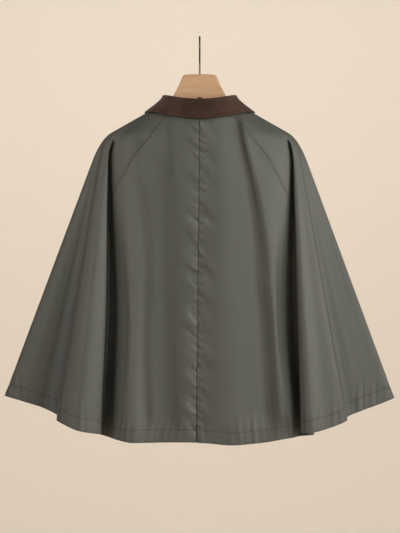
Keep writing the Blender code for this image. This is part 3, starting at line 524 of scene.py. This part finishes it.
def makeCollar():
    count = collar["sections"]
    stops = np.linspace(0, collar["end"], count)
    middle = np.array([collarSection(left, a) for a in stops[::-1]]
                      + [collarSection(right, a) for a in stops[1:]])
    out = np.cross(np.gradient(middle, axis=0), np.gradient(middle, axis=1))
    out /= np.linalg.norm(out, axis=-1, keepdims=True)
    down = np.concatenate([np.zeros((len(middle), 1)),
                           np.cumsum(np.linalg.norm(np.diff(middle, axis=1), axis=2), axis=1)], axis=1)
    along = np.concatenate([[0], np.cumsum(np.linalg.norm(np.diff(middle[:, 25], axis=0), axis=1))])
    toEdge = down[:, -1:] - down
    thin = collar["wall"] / 2 * (1 - 0.35 * np.exp(-(toEdge / 0.0012) ** 2))
    groove = 0.0005 * np.exp(-((toEdge - collar["edgeStitch"]) / 0.0012) ** 2)
    outer = middle + out * (thin - groove)[..., None]
    inner = middle - out * thin[..., None]
    uv = np.stack([np.repeat(along[:, None], middle.shape[1], axis=1), down], axis=-1)
    # painted highlight along the roll's top and near the edge, painted shadow under the edge, painted shade
    # along the stitch groove, and lighter towards the ends
    rolled = np.exp(-((down - collar["rollAt"]) / 0.0045) ** 2)
    tone = (collar["paintedShading"] * rolled + collar["edgeHighlight"] * np.exp(-((toEdge - 0.0028) / 0.0014) ** 2)
            + collar["under"] * np.exp(-(toEdge / 0.0012) ** 2)
            - 0.25 * np.exp(-((toEdge - collar["edgeStitch"]) / 0.0011) ** 2)
            + collar["sides"] * ease((abs(along - along[-1] / 2)[:, None] - 0.02) / 0.05))
    made = wallMesh("collar_cord", outer, inner, False, uv, tone)
    return made, outer, out, down


collarCloth, collarOuter, collarNormals, collarDown = makeCollar()
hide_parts("collar_left", "collar_right")
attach(collarCloth, "root")
print("collar made")

stitch = {"pitch": 0.0036, "length": 0.0027, "radius": 0.00030, "sides": 5}


def stitchMesh(name, rows):
    # rows of (path, normals); every stitch is a short rounded bar of thread
    verts, faces = [], []
    sides = stitch["sides"]
    ring = np.linspace(0, 2 * pi, sides, endpoint=False)
    for path, normals in rows:
        length = np.concatenate(([0], np.cumsum(np.linalg.norm(np.diff(path, axis=0), axis=1))))
        starts = np.arange(0.002, length[-1] - stitch["pitch"], stitch["pitch"])

        def at(s, values):
            return np.array([np.interp(s, length, values[:, k]) for k in range(3)])
        for start in starts:
            a, b = at(start, path), at(start + stitch["length"], path)
            n = at(start + stitch["length"] / 2, normals)
            along = b - a
            along /= np.linalg.norm(along)
            beside = np.cross(n, along)
            beside /= np.linalg.norm(beside)
            base = len(verts)
            verts.append(a - n * stitch["radius"] * 0.6)
            for share in (0.2, 0.8):
                centre = a + (b - a) * share + n * stitch["radius"] * 0.35
                for angle in ring:
                    verts.append(centre + (beside * cos(angle) + n * sin(angle) * 0.8) * stitch["radius"])
            verts.append(b - n * stitch["radius"] * 0.6)
            for k in range(sides):
                j = (k + 1) % sides
                faces.append((base, base + 1 + j, base + 1 + k))
                faces.append((base + 1 + k, base + 1 + j, base + 1 + sides + j, base + 1 + sides + k))
                faces.append((base + 1 + 2 * sides, base + 1 + sides + k, base + 1 + sides + j))
    mesh = bpy.data.meshes.new(name)
    mesh.from_pydata([tuple(v) for v in verts], [], faces)
    mesh.shade_smooth()
    made = bpy.data.objects.new(name, mesh)
    bpy.context.scene.collection.objects.link(made)
    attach(made, "root")
    return made


def rowAt(values, distances, wanted):
    # where each column reaches a distance measured along it
    out = []
    for j in range(values.shape[1]):
        order = np.argsort(distances[:, j])
        out.append([np.interp(wanted, distances[order, j], values[order, j, k]) for k in range(3)])
    return np.array(out)


def columnAt(values, distances, wanted):
    return rowAt(values.transpose(1, 0, 2), distances.T, wanted)


hemRows, seamRows = [], []
for name, grid in grids.items():
    fromHem = grid["down"][-1:] - grid["down"]
    hemRows.append((rowAt(grid["outer"], fromHem, cloth["hemHeight"]),
                    rowAt(grid["normals"], fromHem, cloth["hemHeight"])))
for name in ("side_left", "side_right", "back_right"):
    grid = grids[name]
    path = columnAt(grid["outer"], grid["across"], 0.0065)
    seamRows.append((path[6:], columnAt(grid["normals"], grid["across"], 0.0065)[6:]))
stitchMesh("hem_stitches", hemRows)
stitchMesh("seam_stitches", seamRows)
toEdge = (collarDown[:, -1:] - collarDown).T
stitchMesh("collar_stitches", [(rowAt(collarOuter.transpose(1, 0, 2), toEdge, collar["edgeStitch"]),
                                rowAt(collarNormals.transpose(1, 0, 2), toEdge, collar["edgeStitch"]))])
print("stitches made")


class Value:
    # a shader socket that takes part in Python expressions
    def __init__(self, tree, socket):
        self.tree, self.socket = tree, socket

    def node(self, kind, settings=None, **values):
        made = self.tree.nodes.new(kind)
        for key, setting in (settings or {}).items():
            setattr(made, key, setting)
        for key, value in values.items():
            plug(self.tree, made.inputs[key.replace("_", " ")], value)
        return made

    def calc(self, operation, *terms):
        made = self.tree.nodes.new("ShaderNodeMath")
        made.operation = operation
        for slot, term in zip(made.inputs, terms):
            plug(self.tree, slot, term)
        return Value(self.tree, made.outputs[0])

    def __add__(self, other):
        return self.calc("ADD", self, other)

    __radd__ = __add__

    def __mul__(self, other):
        return self.calc("MULTIPLY", self, other)

    __rmul__ = __mul__

    def __sub__(self, other):
        return self.calc("SUBTRACT", self, other)

    def sine(self):
        return self.calc("SINE", self)

    def clamped(self):
        return self.calc("MINIMUM", self.calc("MAXIMUM", self, 0.0), 1.0)

    def mix(self, low, high):
        # low where this is 0, high where it is 1
        made = self.tree.nodes.new("ShaderNodeMix")
        made.data_type = "RGBA"
        plug(self.tree, made.inputs[0], self)
        plug(self.tree, made.inputs[6], low)
        plug(self.tree, made.inputs[7], high)
        return Value(self.tree, made.outputs[2])


def plug(tree, slot, value):
    if isinstance(value, Value):
        tree.links.new(value.socket, slot)
    elif isinstance(value, bpy.types.NodeSocket):
        tree.links.new(value, slot)
    elif isinstance(value, (tuple, list)):
        slot.default_value = (*value, 1.0) if len(slot.default_value) == 4 and len(value) == 3 else value
    else:
        slot.default_value = value


class Finish:
    # a material under construction
    def __init__(self, name, **fixed):
        self.material = bpy.data.materials.new(name)
        self.material.use_nodes = True
        self.tree = self.material.node_tree
        self.shader = self.tree.nodes["Principled BSDF"]
        for key, value in fixed.items():
            plug(self.tree, self.shader.inputs[key.replace("_", " ")], value)

    def make(self, kind, output, settings=None, **values):
        made = Value(self.tree, None).node(kind, settings, **values)
        return Value(self.tree, made.outputs[output])

    def uv(self):
        where = self.tree.nodes.new("ShaderNodeUVMap")
        where.uv_map = "metres"
        return where.outputs[0]

    def paintedShading(self):
        # the painted light and shade kept on the mesh
        where = self.tree.nodes.new("ShaderNodeAttribute")
        where.attribute_name = "paintedShading"
        return Value(self.tree, where.outputs["Fac"])

    def scaled(self, colour, factor):
        return self.make("ShaderNodeVectorMath", 0, {"operation": "SCALE"}, Vector=colour, Scale=factor)

    def place(self):
        return self.tree.nodes.new("ShaderNodeTexCoord").outputs["Object"]

    def split(self, vector):
        made = self.tree.nodes.new("ShaderNodeSeparateXYZ")
        self.tree.links.new(vector, made.inputs[0])
        return [Value(self.tree, s) for s in made.outputs]

    def noise(self, vector, scale, detailLevel=3.0, roughness=0.5):
        return self.make("ShaderNodeTexNoise", "Fac", None, Vector=vector, Scale=scale,
                         Detail=detailLevel, Roughness=roughness)

    def bump(self, height, distance, strength=1.0, onto=None):
        values = {"Height": height, "Distance": distance, "Strength": strength}
        made = Value(self.tree, None).node("ShaderNodeBump", None, **values)
        if onto is not None:
            self.tree.links.new(onto, made.inputs["Normal"])
        return made.outputs[0]

    def set(self, **values):
        for key, value in values.items():
            plug(self.tree, self.shader.inputs[key.replace("_", " ")], value)

    def on(self, *objects):
        for item in objects:
            item.data.materials.clear()
            item.data.materials.append(self.material)


coated = {
    "colour": (0.108, 0.114, 0.097),
    "dark": (0.087, 0.092, 0.078),
    "roughness": 0.50,
    "thread": 0.00055,
}


def coatedCotton():
    made = Finish("coated_cotton", Specular_IOR_Level=0.42, Sheen_Weight=0.10, Sheen_Roughness=0.5)
    uv = made.uv()
    u, v, _ = made.split(uv)
    cloud = made.noise(uv, 5.0, 4.0, 0.55)
    fine = made.noise(uv, 60.0, 3.0, 0.6)
    tone = (cloud * 0.75 + fine * 0.25 - 0.30) * 1.8
    base = tone.clamped().mix(coated["dark"], coated["colour"])
    # the base colour is scaled by the painted light and shade
    made.set(Base_Color=made.scaled(base, made.paintedShading() + 1.0),
             Roughness=(cloud * 0.10 + fine * 0.12 + coated["roughness"] - 0.11))
    threads = (u * (2 * pi / coated["thread"])).sine() * (v * (2 * pi / coated["thread"])).sine()
    weave = made.bump(threads, 0.00006, 0.5)
    crumple = made.noise(uv, 22.0, 4.0, 0.5)
    made.set(Normal=made.bump(crumple, 0.0016, 0.35, weave))
    return made


cord = {
    "colour": (0.078, 0.042, 0.031),
    "dark": (0.030, 0.015, 0.011),
    # worn: the colour of the painted highlight on the roll and edge
    "wornAndPaintedLight": (0.150, 0.088, 0.062),
    "wale": 0.0013,
}


def needlecord():
    made = Finish("needlecord", Specular_IOR_Level=0.15, Sheen_Weight=0.45, Sheen_Roughness=0.35,
                  Roughness=0.85)
    uv = made.uv()
    u, v, _ = made.split(uv)
    wale = (u * (2 * pi / cord["wale"])).sine() * 0.5 + 0.5
    cloud = made.noise(uv, 45.0, 4.0, 0.6)
    tone = (wale * 0.45 + cloud * 1.6 - 0.50).clamped()
    base = tone.mix(cord["dark"], cord["colour"])
    # painted highlight on the roll and edge mixes toward the lighter colour; painted shade under the edge
    # and along the stitches darkens it; lighter towards the ends
    paintedShading = made.paintedShading()
    made.set(Base_Color=paintedShading.clamped().mix(made.scaled(base, paintedShading + 1.0), cord["wornAndPaintedLight"]))
    made.set(Normal=made.bump(wale + cloud * 0.4, 0.0004, 0.8))
    return made


wood = {"light": (0.72, 0.47, 0.28), "dark": (0.50, 0.28, 0.145)}


def paleWood():
    made = Finish("pale_wood", Specular_IOR_Level=0.35)
    x, y, z = made.split(made.place())
    stretched = made.make("ShaderNodeCombineXYZ", 0, None, X=x * 3.0, Y=y * 30.0, Z=z * 26.0)
    grain = made.noise(stretched, 2.6, 5.0, 0.62)
    fibre = made.noise(stretched, 14.0, 3.0, 0.6)
    tone = (grain * 1.5 + fibre * 0.5 - 0.55).clamped()
    made.set(Base_Color=tone.mix(wood["dark"], wood["light"]), Roughness=0.42 + fibre * 0.14)
    made.set(Normal=made.bump(fibre, 0.0003, 0.4))
    return made


metal = {"colour": (0.060, 0.043, 0.033), "wornAndPaintedLight": (0.16, 0.115, 0.085)}


def bronzedWire():
    made = Finish("bronzed_wire", Metallic=0.9)
    mottle = made.noise(made.place(), 220.0, 3.0, 0.6)
    made.set(Base_Color=(mottle * 1.6 - 0.5).clamped().mix(metal["colour"], metal["wornAndPaintedLight"]),
             Roughness=0.34 + mottle * 0.16)
    return made


hornLook = {"dark": (0.030, 0.016, 0.010), "light": (0.150, 0.080, 0.045)}


def horn():
    made = Finish("horn", Specular_IOR_Level=0.5)
    cloud = made.noise(made.place(), 90.0, 3.0, 0.55)
    made.set(Base_Color=(cloud * 1.8 - 0.5).clamped().mix(hornLook["dark"], hornLook["light"]),
             Roughness=0.24 + cloud * 0.12)
    return made


def thread(name, colour):
    made = Finish(name, Specular_IOR_Level=0.3)
    fuzz = made.noise(made.place(), 900.0, 2.0, 0.5)
    made.set(Base_Color=fuzz.mix(tuple(c * 0.7 for c in colour), colour), Roughness=0.55 + fuzz * 0.2)
    return made


clothFinish, cordFinish = coatedCotton(), needlecord()
clothFinish.on(*panels.values())
cordFinish.on(collarCloth)
paleWood().on(nodes["hanger_board"])
bronzedWire().on(nodes["hanger_hook"])
horn().on(*[nodes[f"button_{k + 1}"] for k in range(5)])
thread("loop_cord", (0.060, 0.034, 0.025)).on(nodes["hang_loop"])
thread("cloth_thread", (0.060, 0.058, 0.048)).on(bpy.data.objects["hem_stitches"],
                                                 bpy.data.objects["seam_stitches"])
thread("collar_thread", (0.040, 0.022, 0.016)).on(bpy.data.objects["collar_stitches"])

for item, slotName in ([(p, "cloth") for p in panels.values()] + [(collarCloth, "corduroy")]):
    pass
print("materials made")

stage = {"radius": 5.2, "floor": -2.3, "cove": 1.6, "height": 4.2,
         "colour": (0.80, 0.72, 0.62), "world": (1.0, 0.98, 0.95), "worldPower": 0.02}
lights = (
    # name, place, aimed at, size, watts, colour
    ("key", (2.3, -2.2, 0.2), (0.0, 0.0, -0.5), 1.3, 46.0, (1.0, 0.98, 0.96)),
    ("left", (-2.3, -2.2, 0.2), (0.0, 0.0, -0.5), 1.3, 35.0, (1.0, 0.98, 0.96)),
    ("top", (1.2, -1.8, 1.8), (0.0, 0.0, -0.5), 1.3, 12.0, (1.0, 0.98, 0.96)),
    ("side", (3.0, -0.9, -0.2), (0.0, 0.0, -0.5), 1.3, 29.0, (1.0, 0.98, 0.96)),
    ("wall", (0.0, 1.2, 1.6), (0.0, 5.0, -0.5), 2.4, 118.0, (1.0, 0.98, 0.96)),
)


def makeStage():
    # one round studio: floor, cove and wall, seen from inside whatever the view
    profile = [(0.0, stage["floor"]), (stage["radius"] - stage["cove"], stage["floor"])]
    for angle in np.linspace(0, pi / 2, 13)[1:]:
        profile.append((stage["radius"] - stage["cove"] + stage["cove"] * sin(angle),
                        stage["floor"] + stage["cove"] * (1 - cos(angle))))
    profile.append((stage["radius"], stage["floor"] + stage["height"]))
    around = 96
    verts = [(0.0, 0.0, profile[0][1])]
    for radius, z in profile[1:]:
        verts += [(radius * cos(2 * pi * k / around), radius * sin(2 * pi * k / around), z)
                  for k in range(around)]
    faces = [(0, 1 + k, 1 + (k + 1) % around) for k in range(around)]
    for ring in range(len(profile) - 2):
        base = 1 + ring * around
        for k in range(around):
            j = (k + 1) % around
            faces.append((base + k, base + around + k, base + around + j, base + j))
    mesh = bpy.data.meshes.new("studio")
    mesh.from_pydata(verts, [], faces)
    mesh.shade_smooth()
    room = bpy.data.objects.new("studio", mesh)
    bpy.context.scene.collection.objects.link(room)
    paint = Finish("studio_paint", Base_Color=stage["colour"], Roughness=0.9, Specular_IOR_Level=0.1)
    paint.on(room)
    world = bpy.data.worlds.new("studio")
    bpy.context.scene.world = world
    world.use_nodes = True
    world.node_tree.nodes["Background"].inputs["Color"].default_value = (*stage["world"], 1.0)
    world.node_tree.nodes["Background"].inputs["Strength"].default_value = stage["worldPower"]
    for name, place, aim, size, watts, colour in lights:
        data = bpy.data.lights.new(name, "AREA")
        data.shape, data.size, data.energy, data.color = "DISK", size, watts, colour
        lamp = bpy.data.objects.new(name, data)
        bpy.context.scene.collection.objects.link(lamp)
        lamp.location = place
        lamp.rotation_euler = (Vector(aim) - Vector(place)).to_track_quat("-Z", "Y").to_euler()


makeStage()
bpy.context.scene.view_settings.view_transform = "Standard"
